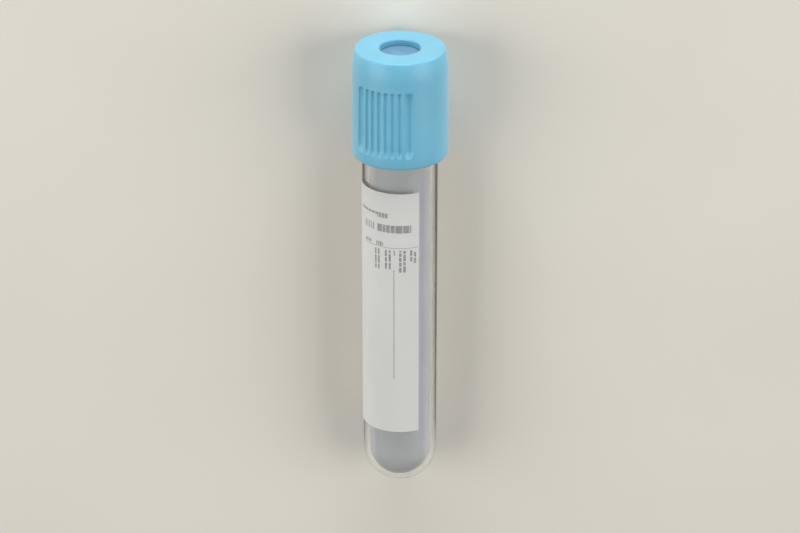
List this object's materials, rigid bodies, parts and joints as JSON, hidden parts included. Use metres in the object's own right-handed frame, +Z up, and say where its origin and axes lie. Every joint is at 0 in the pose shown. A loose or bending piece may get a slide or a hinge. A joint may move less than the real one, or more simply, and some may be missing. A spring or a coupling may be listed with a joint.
{
  "type": "blood collection tube",
  "caption": "Evacuated blood collection tube lying on its side, with a fluted light-blue safety closure that pulls off and a part-wrap paper label.",
  "frame": {"origin": "on the floor under the middle of the lying tube", "axes": "+X along the tube towards the closure, +Z up, label window on the -Y side"},
  "size_m": [0.0822, 0.0164, 0.0169],
  "materials": {
    "clear_pet": "clear, polished",
    "frosted_polypropylene": "translucent, natural",
    "stopper_rubber": "matt, blue-grey",
    "closure_plastic": "satin, light blue",
    "label_paper": "matt white",
    "clear_solution": "clear, watery"
  },
  "bodies": {
    "tube": {"outer_tube": "clear_pet", "inner_tube": "frosted_polypropylene", "label": "label_paper", "citrate_solution": "clear_solution"},
    "closure": {"closure_shield": "closure_plastic", "stopper": "stopper_rubber"}
  },
  "joints": [
    {"name": "closure_pull", "type": "slide", "parent": "tube", "child": "closure", "axis": [0.9995, 0, 0.0324], "range_m": [0, 0.025]}
  ]
}
